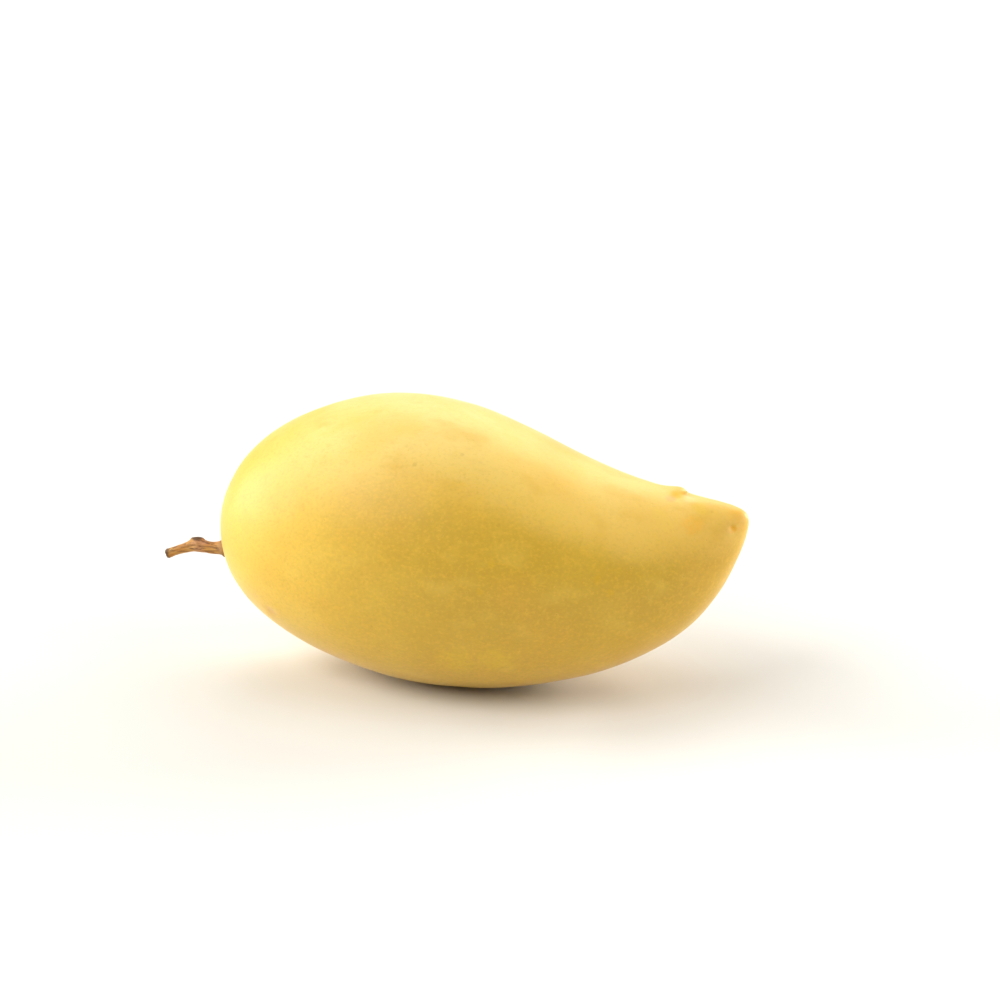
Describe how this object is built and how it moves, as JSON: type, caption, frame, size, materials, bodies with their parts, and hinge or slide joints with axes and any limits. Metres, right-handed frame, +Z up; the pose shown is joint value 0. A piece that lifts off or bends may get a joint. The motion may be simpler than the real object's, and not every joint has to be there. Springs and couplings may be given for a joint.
{
  "type": "mango",
  "caption": "Ripe long yellow mango with a hooked scar near its blunt tip and a short woody stalk, lying on a small flat spot.",
  "frame": {"origin": "on the resting plane, under the middle of the whole object's box", "axes": "+X from the stalk to the tip, +Y to the cheek that the picture doesn't show, +Z up"},
  "size_m": [0.169, 0.0752, 0.0805],
  "materials": {
    "skin": "soft waxy sheen",
    "bark": "dry bark"
  },
  "bodies": {
    "root": {"fruit": "skin", "stem": "bark"}
  },
  "joints": []
}
